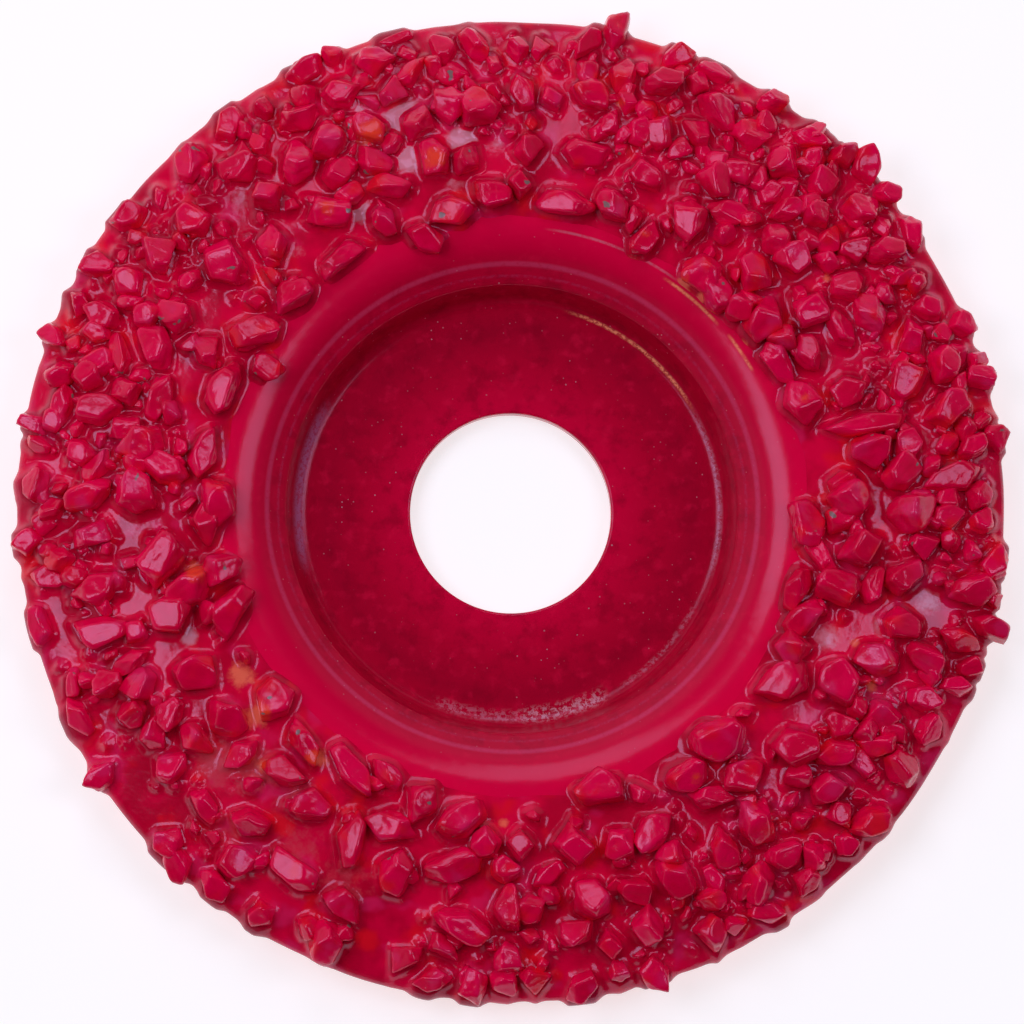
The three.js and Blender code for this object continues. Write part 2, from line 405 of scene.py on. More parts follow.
def enamelOverSteel():
    # enamelled pressed steel: painted shade darkening the recess, dusty in its corners, painted highlights
    # along its rings, painted light brightening the crest
    material, tree, shader, place = glossCoat("glossEnamelOverSteel")
    flat = addNode(tree, "ShaderNodeVectorMath", {0: place, 1: (1, 1, 0)}, operation="MULTIPLY").outputs[0]
    r = addNode(tree, "ShaderNodeVectorMath", {0: flat}, operation="LENGTH").outputs["Value"]
    outward = addNode(tree, "ShaderNodeVectorMath", {0: flat}, operation="NORMALIZE").outputs[0]
    setInputs(shader, steel["look"])
    # painted shade and light by radius: darker down in the recess, brighter over the crest
    shadeAndLightZones = addNode(tree, "ShaderNodeValToRGB", {"Fac": times(tree, r, 1 / (steel["rampEnd"] * mm))})
    ramp = shadeAndLightZones.color_ramp
    for i, (radius, code) in enumerate(steel["shadeAndLightZones"]):
        position = radius / steel["rampEnd"]
        stop = ramp.elements[i] if i < 2 else ramp.elements.new(position)
        stop.position = position
        stop.color = linearColour(code)
    # darker clouds, only inside the recess
    inside = fade(tree, r, 29 * mm, 25 * mm)
    clouds = fade(tree, noise(tree, place, 420.0, 5.0, 0.6), 0.45, 0.7, 0, 0.5)
    now = paintOver(tree, shadeAndLightZones.outputs["Color"], times(tree, clouds, inside), steel["recessClouds"])
    lighter = fade(tree, noise(tree, shifted(tree, place, 1.0), 700.0, 4.0), 0.52, 0.75, 0, 0.35)
    now = paintOver(tree, now, lighter, steel["glow"])
    # painted highlights and marks laid over the colour, one ring at a time
    for radius, halfWidth, azimuth, halfAngle, code, strength, broken in highlightsAndMarks:
        across = calc(tree, "ABSOLUTE", calc(tree, "SUBTRACT", r, radius * mm))
        line = fade(tree, across, halfWidth * mm, 0.15 * halfWidth * mm)
        if halfAngle < 180:
            ends, full = math.cos(math.radians(halfAngle)), math.cos(math.radians(halfAngle * 0.55))
            line = times(tree, line, fade(tree, facingTo(tree, outward, azimuth), ends, full))
        gaps = fade(tree, noise(tree, shifted(tree, place, radius), 2200.0, 4.0, 0.7),
                    0.36 + 0.1 * broken, 0.44 + 0.12 * broken, 1 - broken, 1)
        line = times(tree, times(tree, line, gaps), strength)
        now = paintOver(tree, now, line, code)
    # dust: specks from a tenth to a third of a millimetre, thicker towards the lower side
    patchy = fade(tree, noise(tree, place, 150.0), 0.35, 0.62, 0.15, 0.9)
    patchy = times(tree, patchy, fade(tree, r, 30 * mm, 25 * mm, 0.3, 1))
    now = dusted(tree, place, now, 1500.0, 0.16, 0.72, patchy)
    now = dusted(tree, place, now, 800.0, 0.1, 0.72, patchy)
    tree.links.new(now, shader.inputs["Base Color"])
    relief(tree, shader, noise(tree, place, 700.0, 3.0), 0.03 * mm)
    return material


# Places listed for painting, each with its azimuth in degrees, radius and reach in mm, and strength.
# First where the enamel is so thin that bronze shows through.
thinPlaces = [
    (110.6, 44.4, 1.7, 1), (102.6, 39.4, 1.5, 1), (122, 38.6, 1.1, 0.9), (192.2, 36.1, 1.4, 1),
    (52.5, 30.8, 1, 1), (48, 30.9, 0.7, 1), (57, 30.8, 0.7, 1), (35, 30.9, 0.8, 1), (212, 35.4, 1.7, 1),
    (219.5, 36.6, 1.7, 1), (232, 35.5, 1.4, 1), (226, 40, 1.2, 0.7), (64, 33.4, 0.8, 0.8),
    (20, 34.2, 0.7, 0.8), (95, 31.2, 0.7, 0.8), (303, 36.5, 0.8, 0.8), (268, 35.2, 0.7, 0.8),
    (75, 46.5, 0.7, 0.8), (36, 43, 0.7, 0.8), (333, 44.2, 0.9, 0.8), (338, 40.6, 0.7, 0.8),
]

# A broad dull stretch low on the left.
dullPlaces = [
    (226, 41, 3.2, 0.9), (221, 43.5, 3, 0.9), (234, 40.5, 3, 0.7), (238, 45, 4, 0.6), (246, 46, 4, 0.6),
    (229, 47, 3.4, 0.6),
]

# Painted sheen: smooth braze between the grains, pale pink where it would mirror the softboxes.
sheenPlaces = [
    (343.5, 43.6, 1.4, 0.7), (326.8, 43.7, 0.9, 1), (338.9, 43.7, 0.9, 0.7), (210, 49.4, 1.6, 0.55),
    (105.5, 45, 2.6, 1), (110, 47.5, 1.6, 0.9), (106.5, 40.5, 2, 1), (97.6, 41.2, 1.8, 1),
    (101, 44, 1.4, 0.8), (117, 36.8, 1.6, 0.9), (113, 41, 1.4, 0.7), (92, 40.5, 1.6, 0.5),
    (100, 36.5, 2, 0.5), (124.5, 45, 1.6, 0.7), (131, 45.5, 2, 0.45), (130, 37, 2, 0.4),
    (337, 37.5, 2.2, 0.6), (342, 43, 1.8, 0.65), (347, 47, 2.2, 0.6), (355, 46, 1.8, 0.6),
    (1, 39.5, 1.6, 0.5), (183, 42, 2.6, 0.4), (193, 42.5, 2, 0.4), (202, 38.7, 1.2, 0.9),
    (9.5, 46, 1.6, 0.5),
]


def markPlaces(piece, name, places, cover=1.0):
    # each point's share of something painted at listed places, kept with the mesh for its material
    x, y = pointsOf(piece.data)[:, :2].T
    share = np.zeros(len(x))
    for azimuth, radius, reach, strength in places:
        cx, cy = (c * mm for c in flatPlace(azimuth, radius))
        share = np.maximum(share, strength * np.exp(-((x - cx) ** 2 + (y - cy) ** 2) / (reach * mm) ** 2))
    keep(piece.data, name, "FLOAT", (share * cover).astype(np.float32))


dish = {
    "bore": 22.23 / 2 * mm,
    "sheet": frame["record"]["mounts"][1]["pos_m"][2],  # nut seat over flange seat
    "floor": 22.5 * mm,
    "fillet": 1.6 * mm,
    "wallAngle": 72,
    "shoulderAngle": 34,
    "lipAngle": 44,
    "crest": 31.8 * mm,
    "crestRoll": 6.8 * mm,
    "domeRoll": 53.7 * mm,
    "rim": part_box("steel_disc")[1].x,
    "height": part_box("steel_disc")[1].z,
    "bead": 0.05 * mm,  # a turned-up bead along the lip
    "beadWidth": 0.3 * mm,
    "softening": 0.22 * mm,  # the enamel's rounding of corners
    "step": 0.12 * mm,  # between points along the section, before it is thinned out
    "segments": 300,
    "bed": 0.5 * mm,  # thickness of the braze over the steel
}


def arc(centreR, centreZ, radius, fromAngle, toAngle, count):
    angles = np.radians(np.linspace(fromAngle, toAngle, count))
    return np.stack([centreR + radius * np.cos(angles), centreZ + radius * np.sin(angles)], 1)


def crossing(a, angleA, b, angleB):
    slopeA, slopeB = math.tan(math.radians(angleA)), math.tan(math.radians(angleB))
    r = (b[1] - a[1] + slopeA * a[0] - slopeB * b[0]) / (slopeA - slopeB)
    return np.array([[r, a[1] + slopeA * (r - a[0])]])


def evenly(points, step, closed=False):
    # the same line with points about one step apart
    if closed:
        points = np.vstack([points, points[:1]])
    length = np.concatenate([[0], np.cumsum(np.hypot(*np.diff(points, axis=0).T))])
    count = max(2, int(round(length[-1] / step)) + 1)
    at = np.linspace(0, length[-1], count)
    if closed:
        at = at[:-1]
    return np.stack([np.interp(at, length, points[:, k]) for k in (0, 1)], 1)


def softened(points, step, reach, closed=False):
    # rounds every corner of a line as a coat of enamel does
    n = max(1, int(3 * reach / step))
    kernel = np.exp(-0.5 * (np.arange(-n, n + 1) * step / reach) ** 2)
    kernel /= kernel.sum()
    if closed:
        padded = np.vstack([points[-n:], points, points[:n]])
    else:
        before = 2 * points[:1] - points[n:0:-1]
        after = 2 * points[-1:] - points[-2:-n - 2:-1]
        padded = np.vstack([before, points, after])
    return np.stack([np.convolve(padded[:, k], kernel, "valid") for k in (0, 1)], 1)


crestCentre = dish["height"] - dish["crestRoll"]
domeCentre = dish["height"] - dish["domeRoll"]
rimAngle = math.degrees(math.acos((dish["rim"] - dish["crest"]) / dish["domeRoll"]))


def surfaceHeight(r):
    # height of the bare steel face at a radius outside the lip
    roll = np.where(r < dish["crest"], dish["crestRoll"], dish["domeRoll"])
    run = np.clip(r, 0, dish["rim"]) - dish["crest"]
    return dish["height"] - roll + np.sqrt(np.maximum(roll ** 2 - run ** 2, 0))


def dishSection():
    # anticlockwise: the back outwards, round the rim, and the front inwards
    rise = dish["wallAngle"] - 90
    sheet, fillet = dish["sheet"], dish["fillet"]
    back = arc(dish["floor"], fillet + sheet, fillet + sheet, -90, rise, 12)
    crestUnder = arc(dish["crest"], crestCentre, dish["crestRoll"] - sheet, 90 + dish["lipAngle"], 90, 12)
    domeUnder = arc(dish["crest"], domeCentre, dish["domeRoll"] - sheet, 90, rimAngle, 30)
    dome = arc(dish["crest"], domeCentre, dish["domeRoll"], rimAngle, 90, 30)
    crest = arc(dish["crest"], crestCentre, dish["crestRoll"], 90, 90 + dish["lipAngle"], 20)
    filletArc = arc(dish["floor"], fillet + sheet, fillet, rise, -90, 12)
    return np.vstack([
        [[dish["bore"], 0]], back,
        crossing(back[-1], dish["wallAngle"], crestUnder[0], dish["shoulderAngle"]),
        crestUnder, domeUnder[1:], dome, crest[1:],
        crossing(filletArc[0], dish["wallAngle"], crest[-1], dish["shoulderAngle"]),
        filletArc, [[dish["bore"], sheet]],
    ])


def revolve(name, section, segments, uneven):
    # a closed section turned once round the axis
    angles = np.arange(segments) * 2 * math.pi / segments
    rows = len(section)
    r = np.repeat(section[None, :, 0], segments, 0)
    z = np.repeat(section[None, :, 1], segments, 0)
    x, y = r * np.cos(angles)[:, None], r * np.sin(angles)[:, None]
    vertices = np.stack(uneven(x, y, z), -1).reshape(-1, 3)
    s, k = np.meshgrid(np.arange(segments), np.arange(rows), indexing="ij")
    s1, k1 = (s + 1) % segments, (k + 1) % rows
    faces = np.stack([s * rows + k, s1 * rows + k, s1 * rows + k1, s * rows + k1], -1).reshape(-1, 4)
    return meshObject(name, vertices, faces.tolist())


def makeSteelDisc():
    step = dish["step"]
    raw = evenly(dishSection(), step, closed=True)
    soft = softened(raw, step, dish["softening"], closed=True)
    lipR = dish["crest"] - dish["crestRoll"] * math.sin(math.radians(dish["lipAngle"]))
    front = soft[:, 1] > 6.5 * mm          # the bead is on the front only
    soft[:, 1] += front * dish["bead"] * np.exp(-((soft[:, 0] - lipR) / dish["beadWidth"]) ** 2)
    # keep points close together only where the section bends
    bend = np.abs(np.cross(np.roll(soft, -1, 0) - soft, soft - np.roll(soft, 1, 0))) / step ** 2
    kept, since = [], 99.0
    for i, b in enumerate(bend):
        since += 0.12 + 12 * b
        if since >= 0.85:
            kept.append(i)
            since = 0.0
    section = soft[kept]
    print("steel section points", len(section))

    def uneven(x, y, z):
        lift = 0.02 * mm * wave(x / (6 * mm), y / (6 * mm), z / (6 * mm), 3)
        return x, y, z + lift * (z > 3.5 * mm)

    piece = revolve("steelDisc", section, dish["segments"], uneven)
    piece.data.materials.append(enamelOverSteel())
    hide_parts("steel_disc")
    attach(piece, "root")


# The grains that are large enough to tell apart, after the ones in the frame: azimuth in degrees,
# radius, length and width in mm, and the turn of the long axis from the outward direction.
smallerGrains = [
    (40.6, 54.3, 3.4, 3, -30), (40.5, 51, 3.8, 3.6, 10), (34.5, 53.6, 4.6, 2.6, 55),
    (34.8, 49.8, 4.2, 3, -20), (30.6, 50.2, 4, 2.2, 0), (25.6, 51, 3.4, 2.6, -60),
    (18.2, 50.2, 3.8, 3.8, 0), (18, 53.9, 3.2, 2, 0), (15.4, 53.9, 4.2, 2.8, -15),
    (7.6, 51, 3.6, 2.6, 30), (3.4, 48.6, 6.8, 3.4, 15), (0.2, 44.2, 4, 3, 0), (4.6, 42.6, 4.6, 3.4, 30),
    (8.6, 44.2, 4.2, 2.8, 80), (8.8, 39.8, 4.6, 4, 0), (1, 36.6, 4.6, 4.2, 0), (4.2, 36.6, 3.6, 2.4, 10),
    (17.6, 45.6, 4.8, 3.4, 40), (22.8, 48, 3.8, 3, 40), (28.2, 44.6, 5, 3.4, 90),
    (28.4, 41, 4.6, 2.6, 80), (33.4, 39.6, 4, 3.6, 0), (36.2, 34.8, 5.2, 4, 20),
    (26.8, 36.4, 3.8, 2.8, 80), (28.2, 33.2, 5, 2.6, 90), (41.6, 41, 4, 3.4, -40), (43, 36.8, 4, 4, 0),
    (43.6, 46.6, 3.4, 3.2, 0), (40, 46, 3.4, 2.8, 0), (37, 47, 3.6, 2.8, -30), (1, 47.8, 3, 2.5, 0),
    (1.6, 51.4, 3.2, 2.8, 20), (10.5, 52.6, 3, 2.2, 20), (22, 51, 2.5, 2, 0), (40.5, 33.5, 3.5, 3, 0),
    (47, 53.6, 4, 3, -40), (57.6, 53.2, 3.6, 3, -50), (65.2, 53.4, 4.6, 2.4, 90),
    (80.6, 52.2, 5.6, 2.6, -25), (75.6, 49.4, 3.6, 2.8, 30), (75.6, 44, 3.2, 2.6, 0),
    (71.6, 43.8, 3.4, 3, 0), (68.2, 44.4, 3.6, 3.2, 0), (70.6, 50, 4.2, 3, -60), (62.8, 49.6, 5, 3.4, 60),
    (63.6, 46.4, 4.2, 3, 60), (57.4, 49, 4, 3.2, -30), (55.6, 45.2, 4.2, 2.8, -60),
    (51.6, 48.8, 4.2, 3.8, 20), (47.6, 44.8, 4.4, 2.6, -20), (53.4, 40.2, 5, 2.6, -50),
    (58, 36.8, 4.6, 3.6, 20), (50.6, 33.6, 4.8, 3.6, 80), (71.2, 35, 4.6, 3, 60),
    (79.6, 34.2, 6.2, 2.6, 90), (88.4, 46, 4.4, 2.8, 15), (86.2, 51.2, 3.2, 2.2, 0),
    (87.4, 39.4, 3.6, 3.2, 0), (89.2, 50.6, 3, 2.6, 0), (88.6, 35.6, 3.4, 2.8, 0),
    (49.4, 51.2, 3.2, 2.6, 0), (46.4, 49.6, 3.6, 3.2, 0), (46, 46.6, 3, 2.6, 0),
    (50.6, 45.2, 3.2, 2.8, -30), (44.8, 41.2, 3.6, 3.2, 30), (66.4, 51.6, 3, 2.4, 60),
    (73.8, 46.6, 3, 2.6, 0), (84.4, 45.4, 3.2, 2.6, 30), (56.8, 51, 2.8, 2.4, 0),
    (46.5, 32.4, 4.5, 3, 60), (94.6, 51.4, 4.2, 2.6, 10), (98.2, 51.2, 3.8, 2.6, 0),
    (106.8, 51.6, 4.2, 2.8, -80), (102.6, 49.6, 4.6, 2.4, -50), (103.8, 53.6, 5, 1.6, 90),
    (112.2, 49.4, 4.4, 3.2, 90), (118.6, 48.8, 4.6, 3.2, 90), (117, 45, 4.6, 3.4, -70),
    (105.6, 47.8, 4, 3, -40), (103.4, 43.6, 3.4, 3, 0), (98.6, 45, 4, 3.6, -20), (94.4, 44, 4.6, 4, 90),
    (97.6, 38.4, 3.8, 3, -30), (93.6, 34.6, 4.4, 3, 80), (132.6, 51.9, 4.4, 3.4, -60),
    (121.8, 52, 2.8, 2.2, 0), (128.6, 48, 4.6, 3.4, 60), (124.4, 49, 3, 2.2, 0),
    (122, 44.2, 4.6, 3.2, -50), (128.2, 43.4, 3.8, 3.6, 0), (122, 38.6, 4.6, 3.4, 60),
    (117.6, 41.4, 3.8, 3.2, 90), (112, 41, 4.2, 3, 50), (111.4, 38, 5.4, 2.4, 60),
    (117.4, 38.8, 3.2, 2.4, 90), (114.2, 34.6, 3.6, 2.6, 0), (124.6, 33.4, 6, 2.6, 90),
    (149.2, 53, 4.6, 3.2, 20), (154.6, 52.5, 3.4, 2.6, -60), (169.6, 53.4, 3.8, 2.4, -20),
    (172, 52.6, 3.6, 2, -30), (177, 52.4, 4.4, 3.2, 70), (166.6, 50.6, 4.2, 2.4, 90),
    (163, 49, 3.8, 3.2, 30), (167, 46.6, 5, 3.4, 20), (160.6, 48, 3.8, 3, 30), (154.8, 50, 4, 3, 30),
    (149.6, 49.4, 4.4, 3.4, 0), (143.8, 48, 5, 4, -30), (137.6, 47.6, 4.8, 3.8, 40),
    (155.6, 42.6, 5.2, 3, -55), (150.6, 42.6, 4.4, 3.4, 0), (152, 45.6, 3.4, 3, 0),
    (158.6, 46.4, 4.6, 2.4, -60), (153, 37.8, 4.6, 3.2, -30), (136.8, 33.8, 5, 3.4, 80),
    (157.8, 34.4, 6, 3, 85), (174.6, 38.4, 4.8, 3.2, -20), (170.6, 41.8, 5, 3.6, 40),
    (177.6, 41.4, 4.8, 4.2, 90), (178.4, 46.4, 5.2, 3.2, 25), (174.6, 46, 4.6, 2.6, 60),
    (172.6, 48, 3.6, 2.6, -40), (179.8, 32.8, 5.6, 3.6, 90), (163.6, 44.2, 3.4, 2.8, 0),
    (168.4, 43.8, 3.4, 2.6, 20), (157, 49.5, 3, 2.4, 0), (188.2, 51.4, 4.4, 2.6, -20),
    (205.6, 53.1, 5.2, 3, 85), (201.6, 52, 4, 2, 60), (223.8, 52.6, 3.8, 3.4, 0),
    (203.6, 48.6, 3.6, 3.2, 0), (202.2, 45.4, 4.8, 2.2, 10), (206, 45.6, 4.2, 3.4, 20),
    (196.8, 47.4, 6, 3, -10), (183.6, 46.4, 4.4, 3, 0), (186.8, 50, 3.6, 2.8, 0),
    (180.4, 50.6, 3.2, 2.6, 0), (189.4, 39.4, 5.6, 4.2, 50), (183, 34, 5.4, 3, 75),
    (194.6, 36.4, 5.2, 3.8, 30), (192.6, 33.2, 4.6, 3.2, 0), (197, 39.6, 5, 4, 50),
    (216.2, 40, 4.6, 3.6, 80), (222.2, 40.8, 4.6, 2.8, 0), (216.8, 43.6, 4.2, 2.8, 90),
    (211, 44.2, 4, 3, 30), (212.2, 46.6, 3.6, 2.8, 40), (224.4, 47.4, 4.6, 2.2, 70),
    (208.4, 47.8, 3.4, 3, 0), (231.4, 53.2, 4.6, 3, 80), (231.6, 49.4, 4.6, 3.4, -30),
    (230.2, 45.4, 4.2, 3, 90), (246.4, 51.6, 4.2, 3.8, 20), (236, 40, 4.6, 3.6, -70),
    (229.6, 38.8, 5.4, 3.2, -70), (249, 38.2, 5, 3.2, -60), (252.6, 35, 4.8, 3.6, 0),
    (260.6, 35.6, 6, 3.8, -60), (260.4, 40.2, 6, 3.6, -75), (262.6, 46.4, 6, 3.4, 70),
    (269.2, 44.6, 5, 3.2, 0), (256.2, 51, 4.4, 3, -40), (260.2, 52.8, 4.4, 2.4, -50),
    (265.4, 53.4, 4, 3.2, 0), (261, 49.4, 4, 2.4, 60), (265.4, 37.6, 3.8, 3.2, 0),
    (228.6, 35.2, 5.2, 2.2, 80), (269, 49.5, 3.6, 3, 0), (268, 40.6, 3.4, 2.6, 40),
    (244.6, 33, 4.2, 2.2, 70), (268.5, 51.8, 3.2, 2.8, 0), (302, 52.6, 4.8, 2.8, 50),
    (272.4, 52.2, 4.2, 3.4, 80), (278.4, 47.4, 4.2, 3.4, -60), (287.8, 48.2, 4.6, 3.8, -20),
    (282.2, 49.4, 3.6, 2.8, 0), (281.2, 44.4, 4.6, 4.2, 0), (287.4, 44.6, 4.2, 2.8, 50),
    (293.6, 44.2, 4.8, 3.6, 20), (298.2, 46.8, 3.6, 2.2, 0), (307, 43.6, 5.4, 3.4, -30),
    (287, 39.4, 4.2, 3.6, 0), (279.4, 38, 4.8, 4.2, 0), (270.8, 37.8, 3.8, 3.2, 0),
    (302.2, 35.4, 5, 3.2, 85), (311, 34.2, 6.4, 4.4, 60), (303.2, 49.6, 4.8, 3.4, -60),
    (307.4, 48.6, 4.2, 2.8, 60), (307.8, 52.1, 3.6, 2.8, -30), (294.8, 51.8, 4.2, 3.6, 0),
    (275.2, 41.2, 4.2, 2.2, -60), (272, 44.8, 4, 3.2, -60), (310.8, 50.8, 3.4, 3, 0),
    (296.4, 48.4, 3.6, 2.6, 60), (297.8, 52.1, 3.2, 2.4, 60), (303.6, 39, 4.6, 2.2, 70),
    (282.6, 52.4, 2.8, 2.4, 0), (350, 51.2, 5.6, 3.2, 25), (343.4, 51.2, 5.2, 2.8, 0),
    (340.8, 53.3, 3.4, 2.4, 30), (338, 52.6, 4.2, 2.4, 10), (340, 48.6, 5, 3, -15),
    (343, 44.6, 4.4, 3.6, 0), (358.4, 47.8, 4.6, 3, 20), (358.6, 43.2, 4.8, 4.2, 0),
    (352.6, 38.4, 5.2, 4.2, 30), (345, 37.2, 4.8, 3.6, 0), (337.2, 43.6, 5, 3.8, 0),
    (330.4, 46.4, 4.4, 3.4, 60), (332.6, 34.6, 4, 3.6, 0), (338.4, 34.2, 4.6, 3, 60),
    (343.4, 32.6, 5, 2.6, 80), (350.6, 34.2, 5, 2.4, -60), (325.6, 43.4, 3.6, 3, 0),
    (326.6, 47.8, 4.6, 2.8, 40), (323.2, 47.4, 3.8, 2.4, -20), (325.6, 51.6, 4.4, 3.4, -30),
    (331.8, 51.8, 3.8, 2.8, 80), (318.4, 51.9, 4.4, 3.2, 60), (318.2, 46.4, 4.6, 3.2, 60),
    (322.4, 44.4, 4.6, 3, 50), (329.4, 48.4, 3.6, 2.4, 0), (335, 50, 4, 2.6, 40),
    (316.8, 49.6, 3.4, 3, 0), (354.4, 45.6, 3.6, 3, 0), (314.2, 52.1, 3.6, 2.8, 0),
    (358, 51.8, 3, 2.4, 20), (347.2, 40.4, 4.4, 2.6, 80), (357.6, 36.4, 4.2, 2.8, 20),
    (51, 53.8, 3, 2.4, 0), (349.2, 54, 2.8, 2.2, 20), (353.2, 53.9, 3.4, 2.6, 60),
    (111.4, 53.9, 2.6, 2.4, 0),
]

grit = {
    "crispness": 17,  # how tightly the enamel follows a broken edge
    "seed": 11,
    "sink": 0.3 * mm,  # how deep a grain sits in the braze
    "seen": 2.4,  # mm: grains longer than this were measured between their highlights,
    "grown": 1.13,  # so they get this much larger, but not at the rim, outside rimStart
    "rimStart": 52,
    # number of shapes, fineness of their meshes, tipping in radians, and height as a share of the width
    "grains": (24, 4, 0.2, (0.75, 1.0)),
    "shards": (20, 3, 0.45, (0.8, 1.2)),
    "crumbs": (12, 2, 0.4, (0.6, 0.9)),
}


def hullOf(points):
    bm = bmesh.new()
    for p in points:
        bm.verts.new(p)
    bmesh.ops.remove_doubles(bm, verts=bm.verts, dist=1e-5)
    made = bmesh.ops.convex_hull(bm, input=bm.verts)
    loose = {g for g in made["geom_interior"] + made["geom_unused"] if isinstance(g, bmesh.types.BMVert)}
    bmesh.ops.delete(bm, geom=list(loose), context="VERTS")
    return bm


def brokenShape(rng):
    # a block cut by planes, as carbide breaks: a tilted top, steep sides and a few corners knocked off
    def cut(around, rise, distance):
        rise = math.radians(rise)
        return (*flatPlace(around, math.cos(rise)), math.sin(rise), distance)

    start = rng.uniform(0, 360)
    planes = [cut(0, -90, 0), cut(start, rng.uniform(64, 84), 0.85)]
    sides = rng.integers(4, 7)
    for i in range(sides):
        around = start + 360 / sides * i + rng.uniform(-20, 20)
        planes.append(cut(around, rng.uniform(-12, 22), rng.uniform(0.74, 0.94)))
    for i in range(3):
        around = start + 120 * i + rng.uniform(-40, 40)
        planes.append(cut(around, rng.uniform(30, 58), rng.uniform(0.9, 1.12)))
    planes = np.array(planes)
    points = []
    for i, j, k in itertools.combinations(range(len(planes)), 3):
        rows = planes[[i, j, k]]
        if abs(np.linalg.det(rows[:, :3])) > 0.05:
            point = np.linalg.solve(rows[:, :3], rows[:, 3])
            if (planes[:, :3] @ point <= planes[:, 3] + 1e-6).all():
                points.append(point)
    points = np.array(points)
    low, high = points.min(0), points.max(0)
    points[:, :2] -= (low[:2] + high[:2]) / 2
    return points / (high - low)


def facetsOf(bm):
    # every flat side of a shape: the direction it faces and how far out it lies
    facets = {}
    for f in bm.faces:
        key = tuple(round(c, 2) for c in f.normal)
        facets[key] = (*f.normal, f.normal.dot(f.verts[0].co))
    return np.array(list(facets.values()))


def coatedShape(bm, level, seed):
    # a broken shape under enamel: flat sides, every edge and corner rounded over
    corners = np.array([v.co[:] for v in bm.verts])
    facets = facetsOf(bm)
    bm.free()
    low, high = corners.min(0), corners.max(0)
    middle, half = (low + high) / 2, (high - low) / 2
    out = facets[:, :3] * half
    distance = facets[:, 3] - facets[:, :3] @ middle
    bm = bmesh.new()
    bmesh.ops.create_icosphere(bm, subdivisions=level, radius=1.0)
    directions = np.array([v.co[:] for v in bm.verts])
    press = np.maximum(directions @ out.T, 0) / distance
    reach = (press ** grit["crispness"]).sum(1) ** (-1 / grit["crispness"])
    # and not quite a block: hollows and swellings where flakes have come off
    reach *= 1 + 0.05 * wave(*(2.2 * directions.T), seed) + 0.035 * wave(*(4.6 * directions.T), seed + 100)
    for v, co in zip(bm.verts, directions * reach[:, None] * half + middle):
        v.co = co
    mesh = bpy.data.meshes.new("grain")
    bm.to_mesh(mesh)
    bm.free()
    mesh.polygons.foreach_set("use_smooth", [True] * len(mesh.polygons))
    return mesh


def makeLargeGrains(material):
    made = []
    names = sorted(n for n in frame["nodes"] if n.startswith("carbide_grain"))
    for i, node in enumerate(names):
        bm = bmesh.new()
        bm.from_mesh(frame["nodes"][node].data)
        bmesh.ops.remove_doubles(bm, verts=bm.verts, dist=1e-6)
        mesh = coatedShape(bm, 4, i)
        mesh.materials.append(material)
        piece = inScene(bpy.data.objects.new("largeGrain" + node[-2:], mesh))
        markPlaces(piece, "thin", thinPlaces)
        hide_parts(node)
        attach(piece, "root")
        made.append(piece)
    return made


def seatMatrix(azimuth, radius, turn, tip):
    # stands Z on the bed's surface and puts X along the grain
    onRoll = radius < dish["crest"]
    centre = crestCentre if onRoll else domeCentre
    roll = (dish["crestRoll"] if onRoll else dish["domeRoll"]) + dish["bed"]
    lean = math.asin((radius - dish["crest"]) / roll)
    place = Matrix.Translation((radius, 0, centre + roll * math.cos(lean)))
    around, spin = (Matrix.Rotation(math.radians(a), 4, "Z") for a in (azimuth, turn))
    tipped = Matrix.Rotation(tip[0], 4, "X") @ Matrix.Rotation(tip[1], 4, "Y")
    return around @ place @ Matrix.Rotation(lean, 4, "Y") @ spin @ tipped


# Places without loose crumbs: azimuth, radius and reach in mm.
barePlaces = [
    (105.5, 45, 3.2), (106.5, 40, 2.2), (97.6, 41.2, 2), (92, 39.5, 2), (117, 36.8, 1.6),
    (102, 35.8, 2.4), (131.5, 45.5, 2.4), (128, 39, 2.2), (130, 36, 2.6), (124.5, 45, 2), (147, 40, 2.6),
    (161, 37, 2.2), (147, 37, 2.6), (183, 42, 3.4), (193.5, 42.5, 2.4), (203, 40, 2.2), (197, 51, 2.2),
    (214, 51.5, 2.6), (221, 51.5, 2.6), (224, 45, 2.6), (232, 45, 3.4), (241, 46, 3.6), (250, 46, 3.4),
    (253, 49.5, 2.6), (240, 50, 2.4), (214, 36.5, 2.6), (231, 36.5, 1.8), (337, 37.5, 2.6), (342, 43, 2),
    (347, 47, 2.6), (355, 46, 2), (0, 39.5, 2.2), (350, 38.5, 2), (324, 39, 2.6), (322, 36, 2.2),
    (9.5, 46, 2), (10, 36, 2.2), (24, 40, 3.6), (25, 54, 1.8), (39, 53.5, 1.8), (64, 37, 2.6),
    (82, 42.5, 2.2), (84, 36, 2.2), (165, 53, 2.2), (135, 54, 3), (250, 53, 2),
]

# Chips that lie wherever the larger grains leave room. Sizes and the rim are in mm, and room is the share of
# its size that each grain keeps free of chips.
loose = {
    "shards": {"count": 300, "smallest": 1.7, "largest": 3.3, "room": 0.58, "rim": 51.8, "seed": 5},
    "crumbs": {"count": 200, "smallest": 0.7, "largest": 1.4, "room": 0.85, "rim": 52.8, "seed": 6},
}


